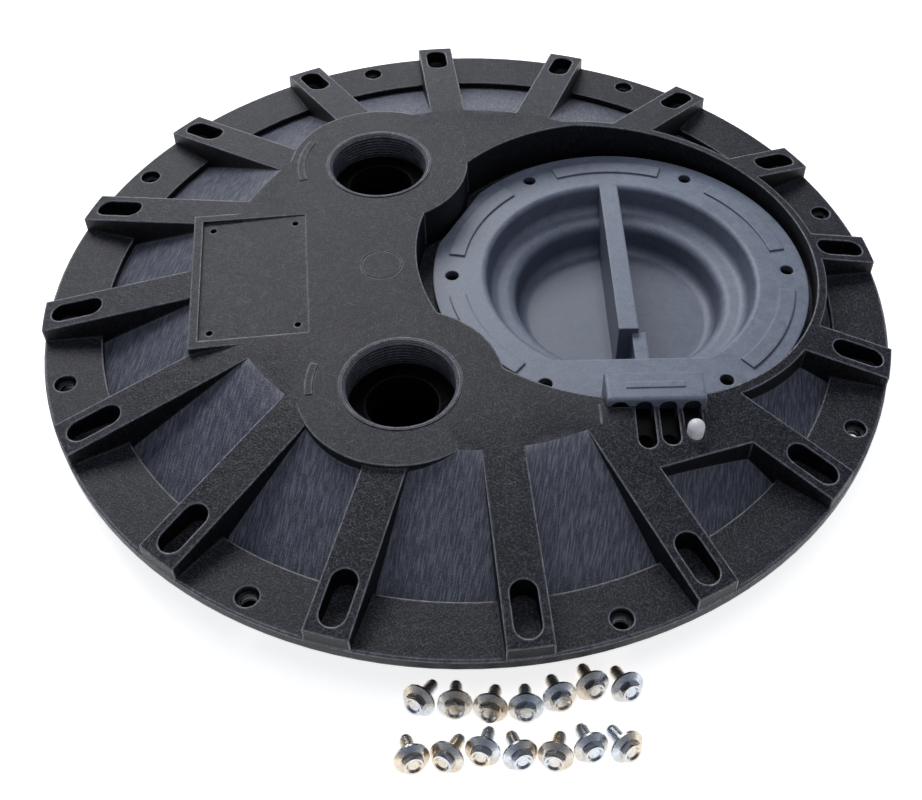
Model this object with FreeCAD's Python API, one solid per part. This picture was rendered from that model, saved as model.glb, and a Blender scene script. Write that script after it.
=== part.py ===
"""Sewage basin cover with a bolted inspection cover, two threaded pipe ports and a cord seal.

Millimetres, +Z up. The origin is the centre of the rim's bolt circle, on the flange's underside,
which is the face that seats on the basin. +X runs from the label panel, between the two ports,
to the inspection cover.
"""

import FreeCAD, Part
import math
import os

# Rim and dome
RIM_R = 362.0
FLANGE_T = 12.0
FLANGE_INNER_R = 315.0
DECK_Z = 52.5
DECK_R = 210.0
WALL = 8.0
EDGE_CHAMFER = 1.5
POCKET_OUTER_Z = 5.0

# Radial ribs and the blind slots in their ends
RIB_COUNT = 16
RIB_W = 32.5
RIB_DRAFT = 1.5
RIB_END_SETBACK = 0.8
RIB_END_Z = 24.0
SLOT_R = 333.0
SLOT_L = 43.0
SLOT_W = 20.0
SLOT_FLOOR_Z = 11.0

# Rim bolt holes
RIM_BOLT_COUNT = 8
RIM_BOLT_R = 346.3
RIM_BOLT_FIRST = 11.25
COUNTERBORE_R = 8.8
COUNTERBORE_DEPTH = 7.0

# Bolts, all alike
BOLT_R = 4.75
BOLT_L = 20.0
BOLT_TIP = 1.0
BOLT_FLANGE_R = 12.5
BOLT_FLANGE_T = 1.6
BOLT_CONE_R = 8.2
BOLT_CONE_H = 2.2
BOLT_HEX_AF = 14.3
BOLT_HEAD_H = 9.0
BOLT_CROWN_H = 1.4
BOLT_CROWN_IN = 0.4
BOLT_DIMPLE_R = 5.4
BOLT_DIMPLE_DEPTH = 1.5
BOLT_PITCH = 1.6
BOLT_THREAD_DEPTH = 0.7
BOLT_CLEARANCE = 1.25

# Thread profile, as shares of the pitch from the groove's foot to its crest
THREAD_FOOT = 0.2
THREAD_CREST = 0.45

# Port bosses: a wide thread above a narrow one
PORT_X = -70.6
PORT_Y = 135.7
BOSS_R = 81.0
PORT_UPPER_R = 43.0
PORT_UPPER_DEPTH = 25.0
PORT_LOWER_R = 29.0
PORT_LOWER_DEPTH = 26.0
PORT_TAIL_R = 32.0
PORT_WALL = 9.0
PORT_LIP_W = 5.0
PORT_LIP_H = 0.8
PORT_PITCH = 3.2
PORT_THREAD_DEPTH = 1.3

# Label panel
PANEL_X = -183.5
PANEL_LX = 87.6
PANEL_LY = 144.5
PANEL_FRAME = 7.5
PANEL_DEEP = 3.0
PANEL_SHALLOW = 0.8
PANEL_HOLE_DX = 35.3
PANEL_HOLE_DY = 62.0
PANEL_HOLE_R = 2.8
PANEL_HOLE_DEPTH = 9.0

# Ring and bars that stand for marks
MARK_X = -77.0
MARK_R = 17.5
MARK_W = 0.9
MARK_DEPTH = 0.5
BAR_W = 6.0
BAR_H = 0.8
BAR_GAP = 25.0
BAR_MIDDLE = 170.0
BAR_SPANS = (46.0, 26.0)

# Well that holds the inspection cover
WELL_X = 128.0
WELL_GAP = 9.0
WELL_WALL = 8.0
LEDGE_Z = 11.0
LEDGE_T = 8.0
LEDGE_GAP = 2.2

# Inspection cover
PLATE_X = 132.5
PLATE_TURN = -5.3
PLATE_R = 166.0
PLATE_T = 6.0
BOSS_GAP = 2.0
RIM_BAND_W = 46.2
DISH_UPPER_DRAFT = 5.2
DISH_STEP_Z = -5.5
DISH_STEP_RISE = 2.0
DISH_STEP_W = 20.8
DISH_LOWER_DRAFT = 4.8
DISH_FLOOR_Z = -33.5
DISH_WALL = 5.0
DISH_CHORD_IN = 62.0
DISH_LIP_ROUND = 5.0
DISH_STEP_ROUND = 9.0
DISH_FLOOR_ROUND = 10.0
PAD_INSET = 9.5
PAD_W = 14.0
PAD_H = 1.6
PAD_SPAN = 40.0
GASKET_T = 3.0
GASKET_W = 31.0

# Handle web across the dish
HANDLE_W = 17.0
HANDLE_END_IN = 97.0
HANDLE_LOW_W = 12.0
HANDLE_LOW_SHIFT = 9.0
HANDLE_LOW_DROP = 6.0

# Inspection cover bolts and the inserts they screw into
PLATE_BOLT_COUNT = 6
PLATE_BOLT_IN = 16.5
INSERT_WALL = 2.2
INSERT_L = 14.0
INSERT_BOSS_WALL = 4.0
INSERT_SINK = 4.0
THREAD_FIT = 0.1

# Cord seal: block with a notch for each cord on the inspection cover, rubber grommet below it, and open
# channels in front of all but the first, closed places. Its places are distances out from the inspection
# cover's edge, or in from it where they are negative.
CORD_COUNT = 4
CORD_CLOSED = 1
CORD_PITCH = 18.8
CORD_U = 6.5
CORD_OUT = 37.5
CORD_HOLE_R = 7.0
CHANNEL_W = 14.6
CHANNEL_OUT = 53.2
CHANNEL_STEP = 3.8
CHANNEL_DEPTH = 19.0
BLOCK_W = 77.5
BLOCK_BACK_OUT = -11.0
BLOCK_FRONT_OUT = 17.0
BLOCK_RISE = 8.5
BLOCK_ROUND = 2.5
NOTCH_R = 7.0
NOTCH_DEPTH = 12.0
NOTCH_DROP = 2.0
BLOCK_BAR_L = 46.0
BLOCK_BAR_W = 6.0
GROMMET_EDGE = 3.5
SEAL_FIT = 0.6
HOUSING_WALL = 4.4
HOUSING_FLOOR_T = 6.0
WINDOW_GAP = 1.0
PAD_EDGE_OUT = 89.5
PAD_EDGE_TURN = -76.1
PLUG_FIT = 0.35
PLUG_RISE = 4.5

# Rim gasket under the flange
RIM_GASKET_T = 3.0
RIM_GASKET_INNER_R = 322.0
RIM_GASKET_OUTER_R = 358.0

# Loose bolts in two rows on the floor in front of the cover. Each row has its first bolt's place, the
# turn of each shank and how far each bolt lies in front of the first.
FLOOR_Z = DISH_FLOOR_Z - DISH_WALL
LOOSE_PITCH = 24.4
LOOSE_ROWS = (
    (-78.5, -363.0, (53, 82, 71, 84, 100, 102, 106), (0, 6, 12, 15, 10, 4.5, 9)),
    (-87.5, -405.0, (100, 56, 69, 102, 70, 102, 113), (0, 2, 1, 7, 11, 8, 11)),
)

# Derived sizes
UP = FreeCAD.Vector(0, 0, 1)
HALF_RIB = RIB_W / 2
RIB_END_R = RIM_R - RIB_END_SETBACK
POCKET_SLOPE = (DECK_Z - POCKET_OUTER_Z) / (FLANGE_INNER_R - DECK_R)
SHELL_DROP = WALL * math.sqrt(1 + POCKET_SLOPE ** 2)
CAVITY_R = FLANGE_INNER_R - (SHELL_DROP - POCKET_OUTER_Z) / POCKET_SLOPE
DISH_TOP_R = PLATE_R - RIM_BAND_W
DISH_STEP_R = DISH_TOP_R - DISH_UPPER_DRAFT
DISH_INNER_R = DISH_STEP_R - DISH_STEP_W
DISH_FLOOR_R = DISH_INNER_R - DISH_LOWER_DRAFT
DISH_CHORD = PLATE_R - DISH_CHORD_IN
HANDLE_END = HANDLE_END_IN - PLATE_R
PLATE_BOLT_R = PLATE_R - PLATE_BOLT_IN
WELL_R = PLATE_R + WELL_GAP
WELL_OUTER_R = WELL_R + WELL_WALL
LEDGE_OPENING_R = DISH_TOP_R + DISH_WALL + LEDGE_GAP
PLATE_Z = LEDGE_Z + GASKET_T
PLATE_TOP_Z = PLATE_Z + PLATE_T
CORD_V = -(PLATE_R + CORD_OUT)
BLOCK_BACK_V = -(PLATE_R + BLOCK_BACK_OUT)
BLOCK_FRONT_V = -(PLATE_R + BLOCK_FRONT_OUT)
BLOCK_TOP_Z = DECK_Z + BLOCK_RISE
BLOCK_U0 = CORD_U - BLOCK_W / 2
BLOCK_U1 = CORD_U + BLOCK_W / 2
GROMMET_TOP_Z = DECK_Z - CHANNEL_DEPTH
GROMMET_BACK_V = -(PLATE_R + 2 * SEAL_FIT)
GROMMET_FRONT_V = CORD_V - CORD_HOLE_R - GROMMET_EDGE
BLOCK_BOTTOM_Z = GROMMET_TOP_Z + SEAL_FIT
INSERT_R = BOLT_R + BOLT_THREAD_DEPTH + INSERT_WALL
INSERT_BOSS_R = INSERT_R + INSERT_BOSS_WALL
BOLT_HOLE_R = BOLT_R + BOLT_CLEARANCE
NOTCH_US = [CORD_U + (i - (CORD_COUNT - 1) / 2) * CORD_PITCH for i in range(CORD_COUNT)]
CORD_US = NOTCH_US[CORD_CLOSED:]
DEEP = 200.0


def cylinder(radius, z0, z1, x=0.0, y=0.0):
    return Part.makeCylinder(radius, z1 - z0, FreeCAD.Vector(x, y, z0))


def tube(inner, outer, z0, z1, x=0.0):
    return cylinder(outer, z0, z1, x).cut(cylinder(inner, z0 - 1, z1 + 1, x))


def box(x0, x1, y0, y1, z0, z1):
    return Part.makeBox(x1 - x0, y1 - y0, z1 - z0, FreeCAD.Vector(x0, y0, z0))


def revolve(points):
    """Solid of revolution about the origin's vertical axis from (radius, height) points."""
    corners = [FreeCAD.Vector(r, 0, z) for r, z in points]
    face = Part.Face(Part.makePolygon(corners + corners[:1]))
    return face.revolve(FreeCAD.Vector(0, 0, 0), UP, 360)


def rounded_revolve(corners):
    """Solid of revolution from (radius, height, rounding) corners, sharp where the rounding is zero."""
    places = [FreeCAD.Vector(r, 0, z) for r, z, _ in corners]
    edges = []
    ends = []
    for i, (_, _, rounding) in enumerate(corners):
        here = places[i]
        back = (places[i - 1] - here).normalize()
        on = (places[(i + 1) % len(places)] - here).normalize()
        half = back.getAngle(on) / 2
        reach = rounding / math.tan(half)
        start = here + back * reach
        end = here + on * reach
        ends.append((start, end))
        if rounding:
            middle = here + (back + on).normalize() * (rounding / math.sin(half) - rounding)
            edges.append(Part.Arc(start, middle, end).toShape())
    for i, (_, end) in enumerate(ends):
        edges.append(Part.makeLine(end, ends[(i + 1) % len(ends)][0]))
    wire = Part.Wire(Part.__sortEdges__(edges))
    return Part.Face(wire).revolve(FreeCAD.Vector(0, 0, 0), UP, 360)


def prism(points, z0, z1):
    """Vertical prism from (x, y) points."""
    corners = [FreeCAD.Vector(x, y, z0) for x, y in points]
    face = Part.Face(Part.makePolygon(corners + corners[:1]))
    return face.extrude(FreeCAD.Vector(0, 0, z1 - z0))


def obround(length, width, z0, z1):
    """Slot shape along X, centred on the origin."""
    half = (length - width) / 2
    solid = box(-half, half, -width / 2, width / 2, z0, z1)
    for x in (-half, half):
        solid = solid.fuse(cylinder(width / 2, z0, z1, x))
    return solid.removeSplitter()


def turned(shape, degrees, radius=0.0):
    """Copy of a shape moved out along X by a radius and turned about the origin."""
    copy = shape.copy()
    copy.translate(FreeCAD.Vector(radius, 0, 0))
    copy.rotate(FreeCAD.Vector(0, 0, 0), UP, degrees)
    return copy


def on_plate(shape):
    """Move a shape from the inspection cover's own axes to the basin cover's."""
    placed = shape.copy()
    placed.rotate(FreeCAD.Vector(0, 0, 0), UP, PLATE_TURN)
    placed.translate(FreeCAD.Vector(PLATE_X, 0, 0))
    return placed


def arc_pad(inner, outer, middle, span, z0, z1):
    """Flat pad that covers part of a ring, its middle at an angle."""
    reach = 2 * outer
    half = math.radians(span / 2)
    wedge = prism([(0, 0), (reach, -reach * math.tan(half)), (reach, reach * math.tan(half))], z0, z1)
    return turned(tube(inner, outer, z0, z1).common(wedge), middle)


def thread(radius, depth, pitch, z0, z1):
    """Solid whose wall has thread grooves that reach a depth outside its radius."""
    points = [(0, z0), (radius, z0)]
    turns = int((z1 - z0) / pitch)
    for i in range(turns):
        z = z1 - (turns - i) * pitch
        points += [(radius, z + THREAD_FOOT * pitch), (radius + depth, z + THREAD_CREST * pitch)]
        points += [(radius + depth, z + (1 - THREAD_CREST) * pitch), (radius, z + (1 - THREAD_FOOT) * pitch)]
    return revolve(points + [(radius, z1), (0, z1)])


def dome():
    """Everything up to the height that the rib tops share, out to the ribs' ends."""
    return revolve([(0, -DEEP), (RIB_END_R, -DEEP), (RIB_END_R, RIB_END_Z), (DECK_R, DECK_Z), (0, DECK_Z)])


def cavity():
    """Hollow under the deck and under the sloping pocket floors."""
    roof = DECK_Z - WALL
    roof_r = CAVITY_R - roof / POCKET_SLOPE
    return revolve([(0, -DEEP), (CAVITY_R, -DEEP), (CAVITY_R, 0), (roof_r, roof), (0, roof)])


def shell():
    """Flange, sloping pocket floors and deck as one plate before the ribs go on."""
    c = EDGE_CHAMFER
    edge = [(0, 0), (RIM_R - c, 0), (RIM_R, c), (RIM_R, FLANGE_T - c), (RIM_R - c, FLANGE_T)]
    pocket = [(FLANGE_INNER_R, FLANGE_T), (FLANGE_INNER_R, POCKET_OUTER_Z), (DECK_R, DECK_Z), (0, DECK_Z)]
    return revolve(edge + pocket).cut(cavity())


def rib():
    """One drafted rib, and the slot that is cut into its outer end."""
    top = HALF_RIB
    foot = HALF_RIB + RIB_DRAFT
    section = [FreeCAD.Vector(DECK_R - RIB_W, y, z) for y, z in
               ((-foot, 0), (foot, 0), (top, DECK_Z), (-top, DECK_Z))]
    face = Part.Face(Part.makePolygon(section + section[:1]))
    solid = face.extrude(FreeCAD.Vector(RIB_END_R - DECK_R + RIB_W, 0, 0))
    slot = obround(SLOT_L, SLOT_W, SLOT_FLOOR_Z, DECK_Z)
    slot.translate(FreeCAD.Vector(SLOT_R, 0, 0))
    return solid.common(dome()), slot


def panel_block():
    half_x = PANEL_LX / 2 + PANEL_FRAME
    half_y = PANEL_LY / 2 + PANEL_FRAME
    return box(PANEL_X - half_x, PANEL_X + half_x, -half_y, half_y, POCKET_OUTER_Z, DECK_Z)


def panel_recess():
    """Shallow wedge, deepest at the outer end, with four screw holes."""
    x0 = PANEL_X - PANEL_LX / 2
    x1 = PANEL_X + PANEL_LX / 2
    half_y = PANEL_LY / 2
    corners = [FreeCAD.Vector(x, -half_y, z) for x, z in
               ((x0, DECK_Z - PANEL_DEEP), (x1, DECK_Z - PANEL_SHALLOW), (x1, DECK_Z + 1), (x0, DECK_Z + 1))]
    face = Part.Face(Part.makePolygon(corners + corners[:1]))
    solid = face.extrude(FreeCAD.Vector(0, PANEL_LY, 0))
    for dx in (-PANEL_HOLE_DX, PANEL_HOLE_DX):
        for dy in (-PANEL_HOLE_DY, PANEL_HOLE_DY):
            hole = cylinder(PANEL_HOLE_R, DECK_Z - PANEL_HOLE_DEPTH, DECK_Z, PANEL_X + dx, dy)
            solid = solid.fuse(hole)
    return solid


def socket_outside():
    """Outside of one port's pipe socket, with a thinner neck through the deck."""
    shoulder_z = DECK_Z - PORT_UPPER_DEPTH - PORT_WALL
    solid = cylinder(PORT_UPPER_R + PORT_LIP_W, shoulder_z, DECK_Z + PORT_LIP_H)
    solid = solid.fuse(cylinder(PORT_UPPER_R + PORT_THREAD_DEPTH + PORT_WALL, shoulder_z, DECK_Z - WALL))
    return solid.fuse(cylinder(PORT_TAIL_R + PORT_WALL, FLOOR_Z, DECK_Z - WALL)).removeSplitter()


def port_bore():
    ledge_z = DECK_Z - PORT_UPPER_DEPTH
    mouth_z = DECK_Z + PORT_LIP_H
    upper = thread(PORT_UPPER_R, PORT_THREAD_DEPTH, PORT_PITCH, ledge_z, mouth_z)
    lower = thread(PORT_LOWER_R, PORT_THREAD_DEPTH, PORT_PITCH, ledge_z - PORT_LOWER_DEPTH, ledge_z)
    tail = cylinder(PORT_TAIL_R, FLOOR_Z - 1, ledge_z - PORT_LOWER_DEPTH)
    chamfer = 2 * PORT_THREAD_DEPTH
    start = FreeCAD.Vector(0, 0, mouth_z - chamfer)
    cone = Part.makeCone(PORT_UPPER_R, PORT_UPPER_R + chamfer, chamfer, start)
    return upper.fuse(lower).fuse(tail).fuse(cone)


def port_centres():
    return ((PORT_X, PORT_Y), (PORT_X, -PORT_Y))


def moved(shape, x, y):
    """Copy of a shape, moved over the floor."""
    copy = shape.copy()
    copy.translate(FreeCAD.Vector(x, y, 0))
    return copy


def port_socket(x, y):
    return moved(socket_outside().cut(port_bore()).removeSplitter(), x, y)


def well_space():
    """Open space above the ledge, between the two port bosses."""
    space = cylinder(WELL_R, LEDGE_Z, DECK_Z + 1, WELL_X)
    for x, y in port_centres():
        space = space.cut(cylinder(BOSS_R, LEDGE_Z - 1, DECK_Z + 2, x, y))
    return space


def turned_point(radius, degrees):
    """Point on a circle about the inspection cover's centre, in the basin cover's axes."""
    angle = math.radians(degrees + PLATE_TURN)
    return PLATE_X + radius * math.cos(angle), radius * math.sin(angle)


def insert_places():
    return [turned_point(PLATE_BOLT_R, i * 360 / PLATE_BOLT_COUNT) for i in range(PLATE_BOLT_COUNT)]


def cord_side():
    """Everything on the well's side of the straight wall in front of the cord seal."""
    side = box(-DEEP, PLATE_R + PAD_EDGE_OUT, -2 * RIM_R, 2 * RIM_R, -DEEP, DEEP)
    return turned(side, PAD_EDGE_TURN)


def cord_pad():
    """Part of the deck in front of the cord seal, from one rib to the next but one pocket."""
    pitch = 360 / RIB_COUNT
    reach = 2 * RIM_R
    angles = [math.radians(-3 * pitch), math.radians(-2 * pitch)]
    far = [(reach * math.cos(a), reach * math.sin(a)) for a in angles]
    wedge = prism([(0, 0)] + far, POCKET_OUTER_Z, DECK_Z)
    return wedge.common(cord_side()).common(dome())


def housing_outside():
    """Box under the deck that carries the grommet."""
    side = SEAL_FIT + HOUSING_WALL
    solid = box(BLOCK_U0 - side, BLOCK_U1 + side, GROMMET_FRONT_V - side, -PLATE_R, -HOUSING_FLOOR_T, DECK_Z)
    return on_plate(solid).common(cord_side()).common(dome())


def cord_space():
    """Room for the grommet and the block, the open channels and the floor's window for the cords."""
    u0 = BLOCK_U0 - SEAL_FIT
    u1 = BLOCK_U1 + SEAL_FIT
    solid = box(u0, u1, GROMMET_FRONT_V - SEAL_FIT, GROMMET_BACK_V + SEAL_FIT, 0, GROMMET_TOP_Z + SEAL_FIT)
    solid = solid.fuse(box(u0, u1, BLOCK_FRONT_V - SEAL_FIT, BLOCK_BACK_V, GROMMET_TOP_Z, DEEP))
    for i, u in enumerate(CORD_US):
        end_v = i * CHANNEL_STEP - PLATE_R - CHANNEL_OUT
        length = BLOCK_FRONT_V - end_v + CHANNEL_W
        channel = turned(obround(length, CHANNEL_W, GROMMET_TOP_Z, DEEP), 90)
        solid = solid.fuse(moved(channel, u, end_v + length / 2))
    half = CORD_HOLE_R + WINDOW_GAP
    window = box(CORD_US[0] - half, CORD_US[-1] + half, CORD_V - half, CORD_V + half, -HOUSING_FLOOR_T - 1, 1)
    return on_plate(solid.fuse(window))


def cord_housing(with_ribs):
    """The box's part below the moulded deck and outside the well."""
    solid = housing_outside().cut(cylinder(WELL_OUTER_R, -DEEP, DEEP, WELL_X))
    return largest(solid.cut(with_ribs).cut(cord_space()))


def largest(shape):
    """The biggest of a cut shape's solids, without the crumbs that the cut leaves beside it."""
    return max(shape.Solids, key=lambda part: part.Volume)


def cover_shell():
    """Flange, pockets, ribs, bosses, panel and seal pad above the cavity."""
    raised = panel_block()
    for i in range(RIB_COUNT):
        raised = raised.fuse(turned(rib()[0], i * 360 / RIB_COUNT))
    for x, y in port_centres():
        raised = raised.fuse(cylinder(BOSS_R, POCKET_OUTER_Z, DECK_Z, x, y))
    raised = raised.fuse(cylinder(WELL_OUTER_R, POCKET_OUTER_Z, DECK_Z, WELL_X).common(dome()))
    raised = raised.fuse(cord_pad())
    return shell().fuse(raised.cut(cavity()))


def well_zone():
    """Everything inside the well wall's outer face."""
    return cylinder(WELL_OUTER_R, -DEEP, DEEP, WELL_X)


def seal_zone():
    """Everything around the open channels and outside the well."""
    side = SEAL_FIT + HOUSING_WALL
    front_v = -(PLATE_R + CHANNEL_OUT + HOUSING_WALL)
    zone = box(BLOCK_U0 - side, BLOCK_U1 + side, front_v, -PLATE_R, -DEEP, DEEP)
    return on_plate(zone).cut(well_zone())


def whole_body(with_ribs):
    """The black moulding, down to the level of the well's ledge."""
    wall = cylinder(WELL_OUTER_R, LEDGE_Z, DECK_Z, WELL_X).common(dome())
    body = with_ribs.fuse(wall).cut(well_space())
    body = body.cut(cylinder(WELL_OUTER_R, -DEEP, LEDGE_Z, WELL_X)).cut(cord_space())
    neck = cylinder(PORT_UPPER_R + PORT_LIP_W, FLOOR_Z - 1, DECK_Z + 1)
    below = cylinder(PORT_UPPER_R + PORT_THREAD_DEPTH + PORT_WALL, FLOOR_Z - 1, DECK_Z - WALL)
    for (x, y), span in zip(port_centres(), BAR_SPANS):
        inner = PORT_UPPER_R + BAR_GAP
        bar = arc_pad(inner, inner + BAR_W, BAR_MIDDLE, span, DECK_Z - 1, DECK_Z + BAR_H)
        body = body.fuse(moved(bar, x, y)).cut(moved(neck.fuse(below), x, y))

    slot = rib()[1]
    for i in range(RIB_COUNT):
        body = body.cut(turned(slot, i * 360 / RIB_COUNT))
    body = body.cut(panel_recess())
    body = body.cut(tube(MARK_R - MARK_W, MARK_R, DECK_Z - MARK_DEPTH, DECK_Z + 1, MARK_X))
    hole = cylinder(BOLT_HOLE_R, -1, FLANGE_T + 1)
    hole = hole.fuse(cylinder(COUNTERBORE_R, FLANGE_T - COUNTERBORE_DEPTH, FLANGE_T + 1))
    for i in range(RIM_BOLT_COUNT):
        body = body.cut(turned(hole, RIM_BOLT_FIRST + i * 360 / RIM_BOLT_COUNT, RIM_BOLT_R))
    return largest(body.removeSplitter())


def well_ledge():
    """Ring that closes the well's foot, with six bosses for the inserts below it."""
    ring = cylinder(WELL_OUTER_R, LEDGE_Z - LEDGE_T, LEDGE_Z, WELL_X)
    for x, y in insert_places():
        ring = ring.fuse(cylinder(INSERT_BOSS_R, LEDGE_Z - INSERT_L - INSERT_BOSS_WALL, LEDGE_Z, x, y))
    ring = ring.cut(cylinder(LEDGE_OPENING_R, -DEEP, LEDGE_Z + 1, PLATE_X)).cut(cord_space())
    for x, y in insert_places():
        ring = ring.cut(cylinder(INSERT_R, LEDGE_Z - INSERT_L - INSERT_SINK, LEDGE_Z + 1, x, y))
    for x, y in port_centres():
        ring = ring.cut(moved(socket_outside(), x, y))
    return ring.removeSplitter()


def dish(offset, top, lip=0.0):
    """Stepped bowl from its lip to its floor, grown outward and downward by an offset. A lip rounds the
    plate's edge around it."""
    floor_z = DISH_FLOOR_Z - offset
    step_z = DISH_STEP_Z - offset
    corners = [(0, floor_z, 0), (DISH_FLOOR_R + offset, floor_z, DISH_FLOOR_ROUND),
               (DISH_INNER_R + offset, step_z, DISH_STEP_ROUND),
               (DISH_STEP_R + offset, step_z + DISH_STEP_RISE, DISH_STEP_ROUND),
               (DISH_TOP_R + offset, top, lip)]
    if lip:
        corners += [(DISH_TOP_R + 2 * lip, top, 0), (DISH_TOP_R + 2 * lip, top + 1, 0), (0, top + 1, 0)]
    else:
        corners += [(0, top, 0)]
    solid = rounded_revolve(corners)
    side = DISH_TOP_R + 2 * DISH_WALL + 2 * lip
    return solid.common(box(-side, side, -DISH_CHORD - offset, side, -DEEP, DEEP))


def cord_block():
    """Block that presses the grommet, with a notch over each cord and a plain bar on top."""
    back = box(BLOCK_U0, BLOCK_U1, -PLATE_R + 1, BLOCK_BACK_V, PLATE_Z, BLOCK_TOP_Z)
    front = box(BLOCK_U0, BLOCK_U1, BLOCK_FRONT_V, BLOCK_BACK_V, BLOCK_BOTTOM_Z, BLOCK_TOP_Z)
    block = back.fuse(front).removeSplitter()
    top_edges = [e for e in block.Edges if min(v.Z for v in e.Vertexes) > BLOCK_TOP_Z - 0.1]
    block = block.makeFillet(BLOCK_ROUND, top_edges)
    out = FreeCAD.Vector(0, 1, 0)
    for u in NOTCH_US:
        start = FreeCAD.Vector(u, BLOCK_FRONT_V - 1, DECK_Z - NOTCH_DROP)
        notch = Part.makeCylinder(NOTCH_R, NOTCH_DEPTH + 1, start, out)
        below = box(u - NOTCH_R, u + NOTCH_R, start.y, start.y + NOTCH_DEPTH + 1, GROMMET_TOP_Z, start.z)
        block = block.cut(notch.fuse(below))
    bar_v = (BLOCK_FRONT_V + BLOCK_BACK_V) / 2
    bar = box(CORD_U - BLOCK_BAR_L / 2, CORD_U + BLOCK_BAR_L / 2, bar_v - BLOCK_BAR_W / 2,
              bar_v + BLOCK_BAR_W / 2, BLOCK_TOP_Z - 1, BLOCK_TOP_Z + BAR_H)
    return block.fuse(bar)


def inspection_cover():
    """Bolted plate with a stepped dish, a handle web, raised pads and the cord seal's block."""
    plate = cylinder(PLATE_R, PLATE_Z, PLATE_TOP_Z)
    for x, y in port_centres():
        angle = math.degrees(math.atan2(y, x - PLATE_X)) - PLATE_TURN
        reach = math.hypot(x - PLATE_X, y) - BOSS_R - BOSS_GAP
        cut = box(reach, 2 * PLATE_R, -PLATE_R, PLATE_R, PLATE_Z - 1, PLATE_TOP_Z + 1)
        plate = plate.cut(turned(cut, angle))
    bowl = dish(0, PLATE_TOP_Z, DISH_LIP_ROUND)
    solid = plate.fuse(dish(DISH_WALL, PLATE_TOP_Z - 1)).cut(bowl)

    low_top = PLATE_TOP_Z - HANDLE_LOW_DROP
    web = box(-HANDLE_W / 2, HANDLE_W / 2, HANDLE_END, PLATE_R, -DEEP, PLATE_TOP_Z)
    low = box(HANDLE_LOW_SHIFT - HANDLE_LOW_W / 2, HANDLE_LOW_SHIFT + HANDLE_LOW_W / 2,
              -PLATE_R, HANDLE_END + 1, -DEEP, low_top)
    solid = solid.fuse(web.fuse(low).common(dish(DISH_WALL / 2, PLATE_TOP_Z))).fuse(cord_block())

    pitch = 360 / PLATE_BOLT_COUNT
    pad_r = PLATE_BOLT_R - PAD_INSET
    for i in range(PLATE_BOLT_COUNT):
        if i != PLATE_BOLT_COUNT // 2:
            middle = 90 + i * pitch
            pad = arc_pad(pad_r, pad_r + PAD_W, middle, PAD_SPAN, PLATE_TOP_Z - 1, PLATE_TOP_Z + PAD_H)
            solid = solid.fuse(pad)
        hole = cylinder(BOLT_HOLE_R, PLATE_Z - 1, PLATE_TOP_Z + PAD_H + 1, PLATE_BOLT_R)
        solid = solid.cut(turned(hole, i * pitch))
    return on_plate(solid.removeSplitter())


def inspection_gasket():
    outer = LEDGE_OPENING_R + GASKET_W
    ring = tube(LEDGE_OPENING_R + SEAL_FIT, outer, LEDGE_Z, PLATE_Z)
    for i in range(PLATE_BOLT_COUNT):
        hole = cylinder(BOLT_HOLE_R, LEDGE_Z - 1, PLATE_Z + 1, PLATE_BOLT_R)
        ring = ring.cut(turned(hole, i * 360 / PLATE_BOLT_COUNT))
    return on_plate(ring)


def cord_grommet(v0, v1):
    """Half of the split grommet, from one distance to another in front of the inspection cover's centre."""
    solid = box(BLOCK_U0, BLOCK_U1, v0, v1, 0, GROMMET_TOP_Z)
    for u in CORD_US:
        solid = solid.cut(cylinder(CORD_HOLE_R, -1, GROMMET_TOP_Z + 1, u, CORD_V))
    return on_plate(solid)


def cord_plug():
    """Plug in the last cord hole, with a domed end that rises above the deck."""
    radius = CORD_HOLE_R - PLUG_FIT
    shoulder_z = DECK_Z + PLUG_RISE - radius
    plug = cylinder(radius, 1, shoulder_z).fuse(Part.makeSphere(radius, FreeCAD.Vector(0, 0, shoulder_z)))
    return on_plate(moved(plug.removeSplitter(), CORD_US[-1], CORD_V))


def rim_gasket():
    ring = tube(RIM_GASKET_INNER_R, RIM_GASKET_OUTER_R, -RIM_GASKET_T, 0)
    for i in range(RIM_BOLT_COUNT):
        hole = cylinder(BOLT_HOLE_R, -RIM_GASKET_T - 1, 1)
        ring = ring.cut(turned(hole, RIM_BOLT_FIRST + i * 360 / RIM_BOLT_COUNT, RIM_BOLT_R))
    return ring


def insert():
    solid = cylinder(INSERT_R, LEDGE_Z - INSERT_L, LEDGE_Z - INSERT_SINK)
    low_z = LEDGE_Z - INSERT_L - 1
    return solid.cut(thread(BOLT_R + THREAD_FIT, BOLT_THREAD_DEPTH, BOLT_PITCH, low_z, LEDGE_Z))


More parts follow.
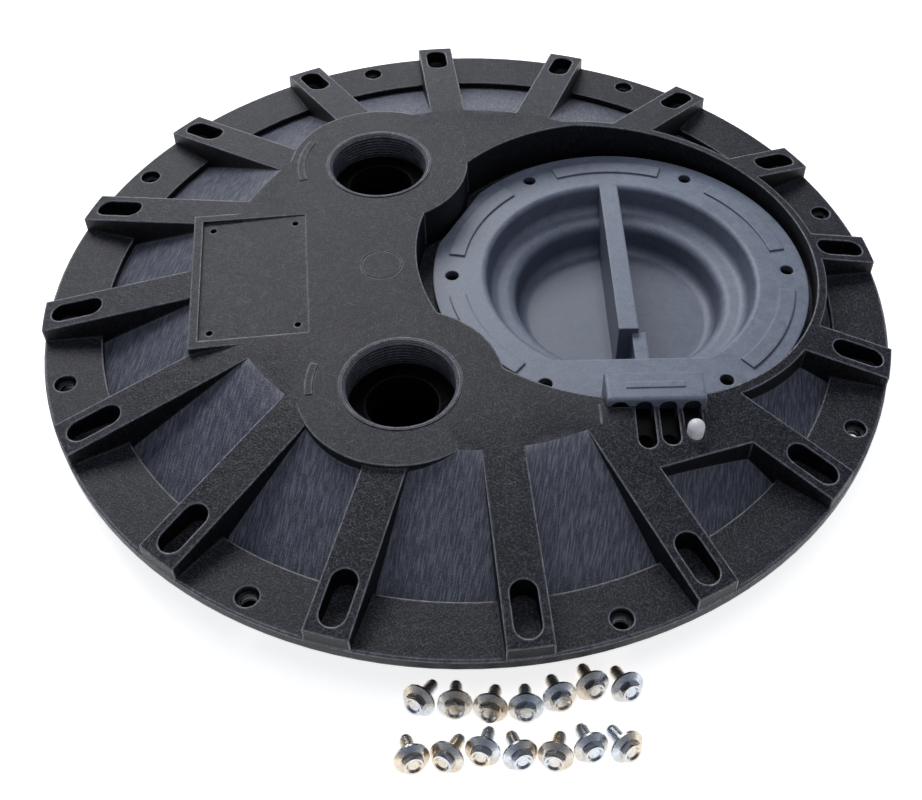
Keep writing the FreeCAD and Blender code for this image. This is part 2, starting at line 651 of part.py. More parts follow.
def bolt():
    """Hex flange bolt, head up, with the underside of its flange at height zero."""
    cone_z = BOLT_FLANGE_T + BOLT_CONE_H
    flange = revolve([(0, 0), (BOLT_FLANGE_R, 0), (BOLT_FLANGE_R, BOLT_FLANGE_T), (BOLT_CONE_R, cone_z),
                      (0, cone_z)])
    across = BOLT_HEX_AF / 2
    corner = across / math.cos(math.radians(30))
    turns = [math.radians(60 * i) for i in range(6)]
    corners = [(corner * math.cos(turn), corner * math.sin(turn)) for turn in turns]
    hexagon = prism(corners, BOLT_FLANGE_T / 2, BOLT_HEAD_H)
    crown = revolve([(0, 0), (2 * corner, 0), (2 * corner, BOLT_HEAD_H - 2 * BOLT_CROWN_H),
                     (corner, BOLT_HEAD_H - BOLT_CROWN_H), (across - BOLT_CROWN_IN, BOLT_HEAD_H),
                     (0, BOLT_HEAD_H)])
    dimple_z = BOLT_HEAD_H - BOLT_DIMPLE_DEPTH
    dimple_floor_r = BOLT_DIMPLE_R - BOLT_DIMPLE_DEPTH
    dimple = revolve([(0, dimple_z), (dimple_floor_r, dimple_z), (BOLT_DIMPLE_R, BOLT_HEAD_H),
                      (0, BOLT_HEAD_H)])
    core = BOLT_R - BOLT_THREAD_DEPTH
    shank = thread(core, BOLT_THREAD_DEPTH, BOLT_PITCH, BOLT_TIP - BOLT_L, 0)
    end = Part.makeCone(core - BOLT_TIP / 2, core, BOLT_TIP, FreeCAD.Vector(0, 0, -BOLT_L))
    return flange.fuse(hexagon.common(crown)).cut(dimple).fuse(shank).fuse(end)


def lying_bolt(shape, x, y, turn):
    """Bolt on the floor, on its flange's edge and its shank's tip, the shank pointing along a turn."""
    tilt = math.degrees(math.atan2(BOLT_FLANGE_R - BOLT_R, BOLT_L))
    placed = shape.copy()
    placed.rotate(FreeCAD.Vector(0, 0, 0), FreeCAD.Vector(0, 1, 0), -90 + tilt)
    placed.rotate(FreeCAD.Vector(0, 0, 0), UP, turn)
    placed.translate(FreeCAD.Vector(x, y, FLOOR_Z + BOLT_FLANGE_R * math.cos(math.radians(tilt))))
    return placed


moulding = cover_shell()
body = whole_body(moulding)
parts = {
    "cover_body": largest(body.cut(well_zone()).cut(seal_zone())),
    "well_wall": largest(body.common(well_zone())),
    "cord_deck": largest(body.common(seal_zone())),
    "well_ledge": well_ledge(),
    "cord_housing": cord_housing(moulding),
    "inspection_cover": inspection_cover(),
    "inspection_gasket": inspection_gasket(),
    "cord_grommet_front": cord_grommet(GROMMET_FRONT_V, CORD_V),
    "cord_grommet_back": cord_grommet(CORD_V, GROMMET_BACK_V),
    "cord_plug": cord_plug(),
    "rim_gasket": rim_gasket(),
}
for number, centre in enumerate(port_centres(), 1):
    parts[f"port_socket_{number}"] = port_socket(*centre)

insert_shape = insert()
for number, (insert_x, insert_y) in enumerate(insert_places(), 1):
    parts[f"threaded_insert_{number}"] = moved(insert_shape, insert_x, insert_y)

bolt_shape = bolt()
bolt_names = [f"rim_bolt_{i + 1}" for i in range(RIM_BOLT_COUNT)]
bolt_names += [f"inspection_bolt_{i + 1}" for i in range(PLATE_BOLT_COUNT)]
bolt_places = []
for row_x, row_y, turns, offsets in LOOSE_ROWS:
    for step, (turn, offset) in enumerate(zip(turns, offsets)):
        bolt_places.append((row_x + step * LOOSE_PITCH, row_y - offset, turn))
for name, place in zip(bolt_names, bolt_places):
    parts[name] = lying_bolt(bolt_shape, *place)

os.makedirs("parts", exist_ok=True)
for name, shape in parts.items():
    shape.exportStep(f"parts/{name}.step")
    state = "valid" if shape.isValid() else "INVALID"
    print(name, state, len(shape.Solids), "solid, volume", round(shape.Volume))
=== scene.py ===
"""Looks of a sewage basin cover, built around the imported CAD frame. Metres, +Z up."""

import bmesh
import bpy
import math
from mathutils import Matrix, Vector


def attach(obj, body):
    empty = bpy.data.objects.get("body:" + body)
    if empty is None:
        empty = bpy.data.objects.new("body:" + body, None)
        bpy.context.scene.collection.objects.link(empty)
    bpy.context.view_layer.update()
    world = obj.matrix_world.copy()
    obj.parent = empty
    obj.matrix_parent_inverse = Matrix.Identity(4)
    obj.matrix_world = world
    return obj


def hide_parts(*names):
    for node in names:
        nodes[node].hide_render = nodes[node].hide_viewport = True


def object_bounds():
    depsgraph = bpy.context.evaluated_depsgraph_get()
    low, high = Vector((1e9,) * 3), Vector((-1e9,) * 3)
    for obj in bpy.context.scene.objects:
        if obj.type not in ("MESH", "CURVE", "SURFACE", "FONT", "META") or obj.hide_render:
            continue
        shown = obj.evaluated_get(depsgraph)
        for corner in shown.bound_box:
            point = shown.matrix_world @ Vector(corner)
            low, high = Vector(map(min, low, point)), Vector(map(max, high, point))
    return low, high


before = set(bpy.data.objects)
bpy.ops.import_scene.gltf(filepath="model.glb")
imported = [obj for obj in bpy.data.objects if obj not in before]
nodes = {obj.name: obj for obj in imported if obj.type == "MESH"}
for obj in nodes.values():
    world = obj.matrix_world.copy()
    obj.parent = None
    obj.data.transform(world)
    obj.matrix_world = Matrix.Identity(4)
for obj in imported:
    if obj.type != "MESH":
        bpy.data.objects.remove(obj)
cad_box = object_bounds()
scene = bpy.context.scene
scene.view_settings.view_transform = "Standard"

# ---- Camera ----
# It stands in front of the loose bolts and above the rim, turned a little to the left and rolled by
# two degrees. The object's middle lies left of the lens axis, which the shift makes up for.

CAMERA_PLACE = Vector((-0.0756, -0.7526, 0.7437))
CAMERA_HEADING = -9.976
CAMERA_TILT = 49.227
CAMERA_ROLL = 2.26
IMAGE_WIDTH = 922
FOCAL_IN_WIDTHS = 1188.8 / IMAGE_WIDTH
AXIS_SHIFT_IN_WIDTHS = 70.7 / IMAGE_WIDTH

camera_data = bpy.data.cameras.new("camera")
camera_data.sensor_width = 36.0
camera_data.lens = FOCAL_IN_WIDTHS * camera_data.sensor_width
camera_data.shift_x = -AXIS_SHIFT_IN_WIDTHS
camera_data.clip_end = 50.0
camera = bpy.data.objects.new("camera", camera_data)
look = Matrix.Rotation(math.radians(CAMERA_HEADING), 4, "Z")
look = look @ Matrix.Rotation(math.radians(90 - CAMERA_TILT), 4, "X")
look = look @ Matrix.Rotation(math.radians(CAMERA_ROLL), 4, "Z")
camera.matrix_world = Matrix.Translation(CAMERA_PLACE) @ look
scene.collection.objects.link(camera)
scene.camera = camera

# ---- Studio ----
# A white paper floor with a painted shadow under the cover: a dark disc on the paper, where the paper's
# glow is also off, so that no white shows through the cover's holes. The sky is pale near the horizon,
# where the bolts' heads face, and dark overhead. A large softbox behind the cover puts a sheen on the
# deck, and a weak one overhead fills the near side.


def linear(code):
    """Linear colour of an sRGB hex value."""
    parts = [int(code[i:i + 2], 16) / 255 for i in (1, 3, 5)]
    return [c / 12.92 if c <= 0.04045 else ((c + 0.055) / 1.055) ** 2.4 for c in parts] + [1.0]


def node(tree, kind, inputs, **settings):
    """Adds a node with its settings, and gives each input, by name or number, a value or a link."""
    made = tree.nodes.new(kind)
    for name, value in settings.items():
        setattr(made, name, value)
    for key, value in inputs.items():
        if isinstance(value, bpy.types.NodeSocket):
            tree.links.new(value, made.inputs[key])
        else:
            made.inputs[key].default_value = value
    return made


def empty_material(name):
    """A new material with nothing in its node tree."""
    material = bpy.data.materials.new(name)
    material.use_nodes = True
    material.node_tree.nodes.clear()
    return material, material.node_tree


def finish_nodes(names, material):
    """Gives CAD nodes a material in place of their plain one."""
    for name in names:
        nodes[name].data.materials.clear()
        nodes[name].data.materials.append(material)


FLOOR_REACH = 12.0
FLOOR_GAP = 0.0002
SHADOW_DISC_MIDDLE = (0.0, 0.022, 0.0)
SHADOW_DISC_RADIUS = 0.356
SHADOW_DISC_FADE = 0.003
PAPER_FIBRE = 0.003
PAPER_FILL = 0.8
corner_signs = ((-1, -1), (1, -1), (1, 1), (-1, 1))
floor_mesh = bpy.data.meshes.new("paper_floor")
floor_mesh.from_pydata([(x * FLOOR_REACH, y * FLOOR_REACH, 0) for x, y in corner_signs], [], [(0, 1, 2, 3)])
floor = bpy.data.objects.new("paper_floor", floor_mesh)
floor.location.z = cad_box[0][2] - FLOOR_GAP
scene.collection.objects.link(floor)

paper, tree = empty_material("white_paper_with_painted_shadow")
place = node(tree, "ShaderNodeTexCoord", {}).outputs["Object"]
fibre = node(tree, "ShaderNodeTexNoise", {"Vector": place, "Scale": 1 / PAPER_FIBRE, "Detail": 3.0})
tone = node(tree, "ShaderNodeMix", {0: fibre.outputs[0], 6: linear("#F7F7F7"), 7: linear("#FCFCFC")},
            data_type="RGBA")
# Painted shadow: inside a disc under the cover the paper is painted near black and its glow is off.
reach = node(tree, "ShaderNodeVectorMath", {0: place, 1: SHADOW_DISC_MIDDLE}, operation="DISTANCE")
outside_painted_shadow = node(tree, "ShaderNodeMapRange", {"Value": reach.outputs["Value"],
                                               "From Min": SHADOW_DISC_RADIUS - SHADOW_DISC_FADE,
                                               "From Max": SHADOW_DISC_RADIUS + SHADOW_DISC_FADE})
tone = node(tree, "ShaderNodeMix", {0: outside_painted_shadow.outputs[0], 6: linear("#0B0B0C"), 7: tone.outputs[2]},
            data_type="RGBA")
fill = node(tree, "ShaderNodeMath", {0: outside_painted_shadow.outputs[0], 1: PAPER_FILL}, operation="MULTIPLY")
skin = node(tree, "ShaderNodeBsdfPrincipled", {"Base Color": tone.outputs[2], "Roughness": 0.9,
                                               "Specular IOR Level": 0.0, "Emission Color": linear("#FFFFFF"),
                                               "Emission Strength": fill.outputs[0]})
node(tree, "ShaderNodeOutputMaterial", {"Surface": skin.outputs[0]})
floor_mesh.materials.append(paper)

SKY_STRENGTH = 0.6

sky = bpy.data.worlds.new("studio")
scene.world = sky
sky.use_nodes = True
tree = sky.node_tree
tree.nodes.clear()
height = node(tree, "ShaderNodeSeparateXYZ", {0: node(tree, "ShaderNodeTexCoord", {}).outputs["Generated"]})
rise = node(tree, "ShaderNodeMapRange", {"Value": height.outputs["Z"], "From Min": 0.05, "From Max": 0.7})
tone = node(tree, "ShaderNodeMix", {0: rise.outputs[0], 6: linear("#E6EBF8"), 7: linear("#565D70")},
            data_type="RGBA")
glow = node(tree, "ShaderNodeBackground", {"Color": tone.outputs[2], "Strength": SKY_STRENGTH})
node(tree, "ShaderNodeOutputWorld", {"Surface": glow.outputs[0]})

for name, spot, size, power in (("softbox_behind", (-0.5, 2.0, 1.9), (2.4, 1.2), 62),
                                ("softbox_overhead", (0.2, -0.3, 2.6), (1.6, 1.2), 12)):
    lamp_data = bpy.data.lights.new(name, "AREA")
    lamp_data.shape = "RECTANGLE"
    lamp_data.size, lamp_data.size_y = size
    lamp_data.energy = power
    lamp = bpy.data.objects.new(name, lamp_data)
    lamp.location = spot
    lamp.rotation_euler = (-Vector(spot)).to_track_quat("-Z", "Y").to_euler()
    scene.collection.objects.link(lamp)

# ---- Cover moulding ----
# One low-pressure moulding of black structural-foam polyethylene: rim, ribs, deck, port sockets, well
# and cord housing. Foaming leaves a dull, swirled skin with a fine grain, pocket floors that were
# rubbed by the tool's release look brushed, and handling leaves pale scuffs. Painted light goes on top:
# the pocket floors are painted lighter as a sheen, open edges are pale partly from wear and partly as a
# painted highlight, upright faces and the bottoms of the port sockets carry painted shade, and the
# upward flanks of the upper threads a painted highlight. The real grain is about 0.3 mm, the scuffs and
# brush marks 0.1 mm wide and the worn edges 0.5 mm, all too fine to show, so they are drawn as coarse
# as they need to show.

GRAIN = 0.0015
SWIRL = 0.007
PATCH = 0.075
SCUFF_WIDTH = 0.0012
SCUFF_LENGTH = 0.011
BRUSH_WIDTH = 0.0011
BRUSH_LENGTH = 0.012
WORN_AND_HIGHLIT_EDGE = 0.0024
SINK_DEPTH = 0.0006
POCKET_UPWARD = 0.911
POCKET_UPWARD_FIT = 0.03
PORT_X = -0.0706
PORT_YS = (0.1357, -0.1357)
SOCKET_RADIUS = 0.0445
SOCKET_LEDGE_Z = 0.028

black, tree = empty_material("black_structural_foam")
place = node(tree, "ShaderNodeTexCoord", {}).outputs["Object"]
surface = node(tree, "ShaderNodeNewGeometry", {})
facing = node(tree, "ShaderNodeSeparateXYZ", {0: surface.outputs["True Normal"]})
grain = node(tree, "ShaderNodeTexNoise", {"Vector": place, "Scale": 1 / GRAIN, "Detail": 3.0, "Roughness": 0.6})
swirl = node(tree, "ShaderNodeTexNoise", {"Vector": place, "Scale": 1 / SWIRL, "Detail": 6.0, "Roughness": 0.65,
                                          "Distortion": 1.2})
patch = node(tree, "ShaderNodeTexNoise", {"Vector": place, "Scale": 1 / PATCH, "Detail": 4.0})

# Floors of the pockets: the only faces that slope by about a quarter of a right angle.
slope = node(tree, "ShaderNodeMath", {0: facing.outputs["Z"], 1: POCKET_UPWARD, 2: POCKET_UPWARD_FIT},
             operation="COMPARE")

# Scuffs run four ways over the whole skin, brush marks only over the pocket floors.
streaks = []
for turn, width, length, low, high in ((20, SCUFF_WIDTH, SCUFF_LENGTH, 0.6, 0.74),
                                       (-35, SCUFF_WIDTH, SCUFF_LENGTH, 0.6, 0.74),
                                       (70, SCUFF_WIDTH, SCUFF_LENGTH, 0.62, 0.76),
                                       (-80, SCUFF_WIDTH, SCUFF_LENGTH, 0.62, 0.76),
                                       (72, BRUSH_WIDTH, BRUSH_LENGTH, 0.44, 0.66)):
    laid = node(tree, "ShaderNodeMapping", {"Vector": place, "Rotation": (0, 0, math.radians(turn)),
                                            "Scale": (length, width, length)}, vector_type="TEXTURE")
    marks = node(tree, "ShaderNodeTexNoise", {"Vector": laid.outputs[0], "Scale": 1.0, "Detail": 2.0})
    mask = node(tree, "ShaderNodeMapRange", {"Value": marks.outputs[0], "From Min": low, "From Max": high})
    streaks.append(mask.outputs[0])
scuffs = node(tree, "ShaderNodeMath", {0: streaks[0], 1: streaks[1]}, operation="MAXIMUM")
for more in streaks[2:4]:
    scuffs = node(tree, "ShaderNodeMath", {0: scuffs.outputs[0], 1: more}, operation="MAXIMUM")
brushed = node(tree, "ShaderNodeMath", {0: streaks[4], 1: slope.outputs[0]}, operation="MULTIPLY")

blend = node(tree, "ShaderNodeMath", {0: swirl.outputs[0], 1: patch.outputs[0]}, operation="ADD")
depth = node(tree, "ShaderNodeMapRange", {"Value": blend.outputs[0], "From Min": 0.75, "From Max": 1.3})
tone = node(tree, "ShaderNodeMix", {0: depth.outputs[0], 6: linear("#0A0A10"), 7: linear("#1B1C25")},
            data_type="RGBA")
speck = node(tree, "ShaderNodeMapRange", {"Value": grain.outputs[0], "From Min": 0.5, "From Max": 0.68})
tone = node(tree, "ShaderNodeMix", {0: speck.outputs[0], 6: tone.outputs[2], 7: linear("#3D404D")},
            data_type="RGBA")
# Painted sheen: the pocket floors are painted lighter, standing in for the reflection of the softbox behind.
pocket_painted_sheen = node(tree, "ShaderNodeMath", {0: slope.outputs[0], 1: 0.75}, operation="MULTIPLY")
tone = node(tree, "ShaderNodeMix", {0: pocket_painted_sheen.outputs[0], 6: tone.outputs[2], 7: linear("#4A4E5C")},
            data_type="RGBA")
marked = node(tree, "ShaderNodeMath", {0: brushed.outputs[0], 1: 0.75}, operation="MULTIPLY")
tone = node(tree, "ShaderNodeMix", {0: marked.outputs[0], 6: tone.outputs[2], 7: linear("#777C8A")},
            data_type="RGBA")
marked = node(tree, "ShaderNodeMath", {0: scuffs.outputs[0], 1: 0.4}, operation="MULTIPLY")
tone = node(tree, "ShaderNodeMix", {0: marked.outputs[0], 6: tone.outputs[2], 7: linear("#6A6D77")},
            data_type="RGBA")

# Painted shade: upright faces are painted darker, as the light from above falls on them less.
upright_painted_shade = node(tree, "ShaderNodeMapRange", {"Value": facing.outputs["Z"], "From Min": 0.1, "From Max": 0.6,
                                            "To Min": 0.85, "To Max": 0.0})
tone = node(tree, "ShaderNodeMix", {0: upright_painted_shade.outputs[0], 6: tone.outputs[2], 7: linear("#070709")},
            data_type="RGBA")

# Worn edges with a painted highlight: pale where a rounded edge's normal leaves the face's own, and the edge
# stands open.
rounded = node(tree, "ShaderNodeBevel", {"Radius": WORN_AND_HIGHLIT_EDGE}, samples=4)
agree = node(tree, "ShaderNodeVectorMath", {0: rounded.outputs[0], 1: surface.outputs["True Normal"]},
             operation="DOT_PRODUCT")
edge = node(tree, "ShaderNodeMapRange", {"Value": agree.outputs["Value"], "From Min": 0.985, "From Max": 0.9})
shade = node(tree, "ShaderNodeAmbientOcclusion", {"Distance": 0.006}, samples=4)
open_edge = node(tree, "ShaderNodeMapRange", {"Value": shade.outputs["AO"], "From Min": 0.7, "From Max": 0.9})
worn_and_highlit = node(tree, "ShaderNodeMath", {0: edge.outputs[0], 1: open_edge.outputs[0]}, operation="MULTIPLY")
broken = node(tree, "ShaderNodeMapRange", {"Value": swirl.outputs[0], "From Min": 0.35, "From Max": 0.65,
                                           "To Min": 0.4})
worn_and_highlit = node(tree, "ShaderNodeMath", {0: worn_and_highlit.outputs[0], 1: broken.outputs[0]}, operation="MULTIPLY")
tone = node(tree, "ShaderNodeMix", {0: worn_and_highlit.outputs[0], 6: tone.outputs[2], 7: linear("#C2C5CF")},
            data_type="RGBA")

# In the port sockets, below the upper thread's ledge the skin is painted almost black as painted shade,
# and the upward-facing flanks of the upper thread get a painted highlight.
flat = node(tree, "ShaderNodeVectorMath", {0: place, 1: (1, 1, 0)}, operation="MULTIPLY")
near_axes = []
for port_y in PORT_YS:
    axis_distance = node(tree, "ShaderNodeVectorMath", {0: flat.outputs[0], 1: (PORT_X, port_y, 0)},
                         operation="DISTANCE")
    near = node(tree, "ShaderNodeMath", {0: axis_distance.outputs["Value"], 1: SOCKET_RADIUS},
                operation="LESS_THAN")
    near_axes.append(near.outputs[0])
in_socket = node(tree, "ShaderNodeMath", {0: near_axes[0], 1: near_axes[1]}, operation="MAXIMUM")
height = node(tree, "ShaderNodeSeparateXYZ", {0: place})
deep_socket_shade = node(tree, "ShaderNodeMath", {0: height.outputs["Z"], 1: SOCKET_LEDGE_Z}, operation="LESS_THAN")
deep_socket_shade = node(tree, "ShaderNodeMath", {0: deep_socket_shade.outputs[0], 1: in_socket.outputs[0]}, operation="MULTIPLY")
deep_socket_shade = node(tree, "ShaderNodeMath", {0: deep_socket_shade.outputs[0], 1: 0.93}, operation="MULTIPLY")
# Painted shade deep in the port sockets.
tone = node(tree, "ShaderNodeMix", {0: deep_socket_shade.outputs[0], 6: tone.outputs[2], 7: linear("#020203")},
            data_type="RGBA")
# Painted highlight on the upward-facing flanks of the upper thread.
flank = node(tree, "ShaderNodeMath", {0: facing.outputs["Z"], 1: 0.52, 2: 0.3}, operation="COMPARE")
high = node(tree, "ShaderNodeMath", {0: height.outputs["Z"], 1: SOCKET_LEDGE_Z}, operation="GREATER_THAN")
crest_highlight = node(tree, "ShaderNodeMath", {0: flank.outputs[0], 1: high.outputs[0]}, operation="MULTIPLY")
crest_highlight = node(tree, "ShaderNodeMath", {0: crest_highlight.outputs[0], 1: in_socket.outputs[0]}, operation="MULTIPLY")
tone = node(tree, "ShaderNodeMix", {0: crest_highlight.outputs[0], 6: tone.outputs[2], 7: linear("#8C8F98")},
            data_type="RGBA")

relief = node(tree, "ShaderNodeMath", {0: swirl.outputs[0], 1: grain.outputs[0]}, operation="ADD")
bump = node(tree, "ShaderNodeBump", {"Height": relief.outputs[0], "Normal": rounded.outputs[0], "Strength": 0.8,
                                     "Distance": SINK_DEPTH})
gloss = node(tree, "ShaderNodeMapRange", {"Value": grain.outputs[0], "From Min": 0.35, "From Max": 0.65,
                                          "To Min": 0.3, "To Max": 0.58})
sheen = node(tree, "ShaderNodeMapRange", {"Value": speck.outputs[0], "To Min": 0.22, "To Max": 0.52})
sheen = node(tree, "ShaderNodeMix", {0: deep_socket_shade.outputs[0], 2: sheen.outputs[0], 3: 0.0})
skin = node(tree, "ShaderNodeBsdfPrincipled", {"Base Color": tone.outputs[2], "Roughness": gloss.outputs[0],
                                               "IOR": 1.5, "Specular IOR Level": sheen.outputs[0],
                                               "Normal": bump.outputs[0]})
node(tree, "ShaderNodeOutputMaterial", {"Surface": skin.outputs[0]})
SAME_POINT = 1e-6
SHARP_ANGLE = 25


def largest_island(shape):
    """The points of a mesh's largest connected part."""
    left = set(shape.verts)
    largest = set()
    while left:
        island = set()
        front = [left.pop()]
        while front:
            point = front.pop()
            island.add(point)
            for link in point.link_edges:
                other = link.other_vert(point)
                if other in left:
                    left.remove(other)
                    front.append(other)
        if len(island) > len(largest):
            largest = island
    return largest


def weld(names):
    """One closed mesh from CAD nodes that meet face to face, without the slivers left between them."""
    copies = []
    for name in names:
        mesh = nodes[name].data.copy()
        shape = bmesh.new()
        shape.from_mesh(mesh)
        bmesh.ops.remove_doubles(shape, verts=shape.verts, dist=SAME_POINT)
        shape.to_mesh(mesh)
        shape.free()
        copies.append(bpy.data.objects.new(name + "_copy", mesh))
        scene.collection.objects.link(copies[-1])
    for other in copies[1:]:
        union = copies[0].modifiers.new(other.name, "BOOLEAN")
        union.operation = "UNION"
        union.solver = "MANIFOLD"
        union.object = other
    view = bpy.context.evaluated_depsgraph_get()
    welded = bpy.data.meshes.new_from_object(copies[0].evaluated_get(view))
    for copy in copies:
        bpy.data.objects.remove(copy)
    shape = bmesh.new()
    shape.from_mesh(welded)
    whole = largest_island(shape)
    crumbs = [point for point in shape.verts if point not in whole]
    bmesh.ops.delete(shape, geom=crumbs, context="VERTS")
    shape.to_mesh(welded)
    shape.free()
    return welded


# The CAD has the moulding in seven nodes. They are one piece here, so that no joint lines show.
moulded = ["cover_body", "well_wall", "cord_deck", "well_ledge", "cord_housing", "port_socket_1",
           "port_socket_2"]
skin_mesh = weld(moulded)
skin_mesh.materials.clear()
skin_mesh.materials.append(black)
if "custom_normal" in skin_mesh.attributes:
    skin_mesh.attributes.remove(skin_mesh.attributes["custom_normal"])
skin_mesh.polygons.foreach_set("material_index", [0] * len(skin_mesh.polygons))
skin_mesh.polygons.foreach_set("use_smooth", [True] * len(skin_mesh.polygons))
skin_mesh.set_sharp_from_angle(angle=math.radians(SHARP_ANGLE))
moulding = bpy.data.objects.new("cover_moulding", skin_mesh)
scene.collection.objects.link(moulding)
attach(moulding, "cover")
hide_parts(*moulded)

# ---- Gaskets and grommet ----
# Black EPDM rubber: a cut ring under the rim, another under the inspection cover, and the cord
# grommet. It is matt, with talc left in its pores, which are drawn a few times coarser than the real
# 0.3 mm so that they show.

PORE = 0.0016

rubber, tree = empty_material("black_epdm_rubber")
place = node(tree, "ShaderNodeTexCoord", {}).outputs["Object"]
pores = node(tree, "ShaderNodeTexNoise", {"Vector": place, "Scale": 1 / PORE, "Detail": 4.0})
talc = node(tree, "ShaderNodeTexNoise", {"Vector": place, "Scale": 1 / (14 * PORE), "Detail": 3.0})
dust = node(tree, "ShaderNodeMapRange", {"Value": talc.outputs[0], "From Min": 0.45, "From Max": 0.8})
tone = node(tree, "ShaderNodeMix", {0: dust.outputs[0], 6: linear("#151516"), 7: linear("#35353A")},
            data_type="RGBA")
bump = node(tree, "ShaderNodeBump", {"Height": pores.outputs[0], "Strength": 0.4, "Distance": 0.0003})
skin = node(tree, "ShaderNodeBsdfPrincipled", {"Base Color": tone.outputs[2], "Roughness": 0.85, "IOR": 1.52,
                                               "Normal": bump.outputs[0]})
node(tree, "ShaderNodeOutputMaterial", {"Surface": skin.outputs[0]})
finish_nodes([name for name in nodes if name.endswith("gasket") or name.startswith("cord_grommet")], rubber)

# ---- Threaded inserts ----
# Turned brass bushes, pressed into the ledge. Turning leaves fine rings, drawn many times coarser than
# the real 0.4 mm feed so that they show, and a bright, slightly uneven yellow.

TURNING = 0.008
STAIN = 0.004

brass, tree = empty_material("turned_brass")
place = node(tree, "ShaderNodeTexCoord", {}).outputs["Object"]
rings = node(tree, "ShaderNodeTexWave", {"Vector": place, "Scale": 1 / TURNING, "Distortion": 0.5},
             bands_direction="Z")
stain = node(tree, "ShaderNodeTexNoise", {"Vector": place, "Scale": 1 / STAIN})
tone = node(tree, "ShaderNodeMix", {0: stain.outputs[0], 6: linear("#A07C3C"), 7: linear("#D2B36E")},
            data_type="RGBA")
bump = node(tree, "ShaderNodeBump", {"Height": rings.outputs["Fac"], "Strength": 0.3, "Distance": 0.0001})
skin = node(tree, "ShaderNodeBsdfPrincipled", {"Base Color": tone.outputs[2], "Metallic": 1.0,
                                               "Roughness": 0.28, "Normal": bump.outputs[0]})
node(tree, "ShaderNodeOutputMaterial", {"Surface": skin.outputs[0]})
finish_nodes([name for name in nodes if name.startswith("threaded_insert")], brass)

# ---- Inspection cover ----
# A blue-grey polypropylene moulding with softly rounded edges. Its skin is satin, with flow marks and
# pale specks of filler, its edges are paler, partly faint rubbing and partly a painted highlight, its
# upright faces carry painted shade, and the dish is a little darker towards its bottom.
# The real specks are about 0.3 mm and are drawn coarser so that they show.

FILLER = 0.0013
FLOW = 0.012
SOFT_EDGE = 0.0022

grey, tree = empty_material("grey_polypropylene")
place = node(tree, "ShaderNodeTexCoord", {}).outputs["Object"]
surface = node(tree, "ShaderNodeNewGeometry", {})
facing = node(tree, "ShaderNodeSeparateXYZ", {0: surface.outputs["True Normal"]})
filler = node(tree, "ShaderNodeTexNoise", {"Vector": place, "Scale": 1 / FILLER, "Detail": 3.0})
flow = node(tree, "ShaderNodeTexNoise", {"Vector": place, "Scale": 1 / FLOW, "Detail": 6.0, "Roughness": 0.6,
                                         "Distortion": 0.8})
cloud = node(tree, "ShaderNodeMapRange", {"Value": flow.outputs[0], "From Min": 0.3, "From Max": 0.7})
tone = node(tree, "ShaderNodeMix", {0: cloud.outputs[0], 6: linear("#656E80"), 7: linear("#7A8395")},
            data_type="RGBA")
speck = node(tree, "ShaderNodeMapRange", {"Value": filler.outputs[0], "From Min": 0.5, "From Max": 0.75,
                                          "To Max": 0.5})
tone = node(tree, "ShaderNodeMix", {0: speck.outputs[0], 6: tone.outputs[2], 7: linear("#98A0AE")},
            data_type="RGBA")
height = node(tree, "ShaderNodeSeparateXYZ", {0: place})
# The dish is a little darker towards its bottom.
sunk = node(tree, "ShaderNodeMapRange", {"Value": height.outputs["Z"], "From Min": 0.006, "From Max": -0.03,
                                         "To Max": 0.35})
tone = node(tree, "ShaderNodeMix", {0: sunk.outputs[0], 6: tone.outputs[2], 7: linear("#4C5466")},
            data_type="RGBA")
# Painted shade: upright faces are painted darker.
upright_painted_shade = node(tree, "ShaderNodeMapRange", {"Value": facing.outputs["Z"], "From Min": 0.1, "From Max": 0.7,
                                            "To Min": 0.5, "To Max": 0.0})
tone = node(tree, "ShaderNodeMix", {0: upright_painted_shade.outputs[0], 6: tone.outputs[2], 7: linear("#2E333F")},
            data_type="RGBA")
# Paler open edges, partly faint rubbing and partly a painted highlight.
rounded = node(tree, "ShaderNodeBevel", {"Radius": SOFT_EDGE}, samples=4)
agree = node(tree, "ShaderNodeVectorMath", {0: rounded.outputs[0], 1: surface.outputs["True Normal"]},
             operation="DOT_PRODUCT")
edge = node(tree, "ShaderNodeMapRange", {"Value": agree.outputs["Value"], "From Min": 0.995, "From Max": 0.85})
shade = node(tree, "ShaderNodeAmbientOcclusion", {"Distance": 0.008}, samples=4)
open_edge = node(tree, "ShaderNodeMapRange", {"Value": shade.outputs["AO"], "From Min": 0.7, "From Max": 0.95})
rubbed_and_highlit = node(tree, "ShaderNodeMath", {0: edge.outputs[0], 1: open_edge.outputs[0]}, operation="MULTIPLY")
rubbed_and_highlit = node(tree, "ShaderNodeMath", {0: rubbed_and_highlit.outputs[0], 1: 0.5}, operation="MULTIPLY")
tone = node(tree, "ShaderNodeMix", {0: rubbed_and_highlit.outputs[0], 6: tone.outputs[2], 7: linear("#AEB5C2")},
            data_type="RGBA")
relief = node(tree, "ShaderNodeMath", {0: filler.outputs[0], 1: flow.outputs[0]}, operation="ADD")
bump = node(tree, "ShaderNodeBump", {"Height": relief.outputs[0], "Normal": rounded.outputs[0],
                                     "Strength": 0.35, "Distance": 0.0004})
gloss = node(tree, "ShaderNodeMapRange", {"Value": flow.outputs[0], "To Min": 0.36, "To Max": 0.56})
skin = node(tree, "ShaderNodeBsdfPrincipled", {"Base Color": tone.outputs[2], "Roughness": gloss.outputs[0],
                                               "IOR": 1.49, "Normal": bump.outputs[0]})
node(tree, "ShaderNodeOutputMaterial", {"Surface": skin.outputs[0]})
finish_nodes(["inspection_cover"], grey)

# ---- Cord plug ----
# A turned white nylon rod with a domed end, pushed into the one cord hole that isn't used. It is
# waxy and slightly warm, with handling marks.

TOUCH = 0.003

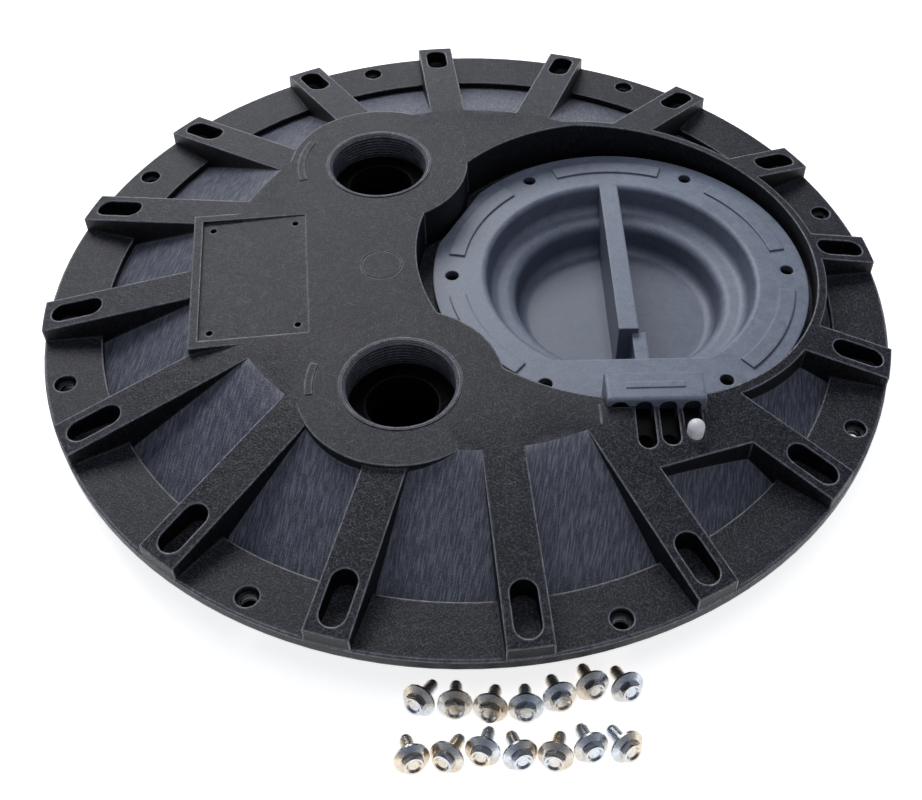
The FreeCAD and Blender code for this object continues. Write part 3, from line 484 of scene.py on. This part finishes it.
nylon, tree = empty_material("white_nylon")
place = node(tree, "ShaderNodeTexCoord", {}).outputs["Object"]
touch = node(tree, "ShaderNodeTexNoise", {"Vector": place, "Scale": 1 / TOUCH, "Detail": 4.0})
tone = node(tree, "ShaderNodeMix", {0: touch.outputs[0], 6: linear("#D9DADD"), 7: linear("#F2F2F2")},
            data_type="RGBA")
bump = node(tree, "ShaderNodeBump", {"Height": touch.outputs[0], "Strength": 0.3, "Distance": 0.0002})
skin = node(tree, "ShaderNodeBsdfPrincipled", {"Base Color": tone.outputs[2], "Roughness": 0.38, "IOR": 1.53,
                                               "Subsurface Weight": 0.15, "Subsurface Scale": 0.002,
                                               "Normal": bump.outputs[0]})
node(tree, "ShaderNodeOutputMaterial", {"Surface": skin.outputs[0]})
finish_nodes(["cord_plug"], nylon)

# ---- Loose bolts ----
# Hex flange bolts of cold-headed stainless steel, tumbled bright. Heading leaves a rippled skin, and
# the batch runs from cool to warm, so the tint drifts from one bolt to the next. The ripples are drawn
# at about twice their real 1 mm so that they show.

BATCH = 0.028
RIPPLE = 0.0022

steel, tree = empty_material("tumbled_stainless")
place = node(tree, "ShaderNodeTexCoord", {}).outputs["Object"]
batch = node(tree, "ShaderNodeTexNoise", {"Vector": place, "Scale": 1 / BATCH, "Detail": 0.0})
ripple = node(tree, "ShaderNodeTexNoise", {"Vector": place, "Scale": 1 / RIPPLE, "Detail": 3.0})
drift = node(tree, "ShaderNodeMapRange", {"Value": batch.outputs[0], "From Min": 0.35, "From Max": 0.65})
tone = node(tree, "ShaderNodeMix", {0: drift.outputs[0], 6: linear("#DCCFBC"), 7: linear("#D3D9DF")},
            data_type="RGBA")
dull = node(tree, "ShaderNodeMapRange", {"Value": ripple.outputs[0], "From Min": 0.4, "From Max": 0.75,
                                         "To Max": 0.3})
tone = node(tree, "ShaderNodeMix", {0: dull.outputs[0], 6: tone.outputs[2], 7: linear("#8A847C")},
            data_type="RGBA")
bump = node(tree, "ShaderNodeBump", {"Height": ripple.outputs[0], "Strength": 0.35, "Distance": 0.0004})
gloss = node(tree, "ShaderNodeMapRange", {"Value": ripple.outputs[0], "To Min": 0.14, "To Max": 0.34})
skin = node(tree, "ShaderNodeBsdfPrincipled", {"Base Color": tone.outputs[2], "Metallic": 1.0,
                                               "Roughness": gloss.outputs[0], "Normal": bump.outputs[0]})
node(tree, "ShaderNodeOutputMaterial", {"Surface": skin.outputs[0]})
finish_nodes([name for name in nodes if "_bolt_" in name], steel)
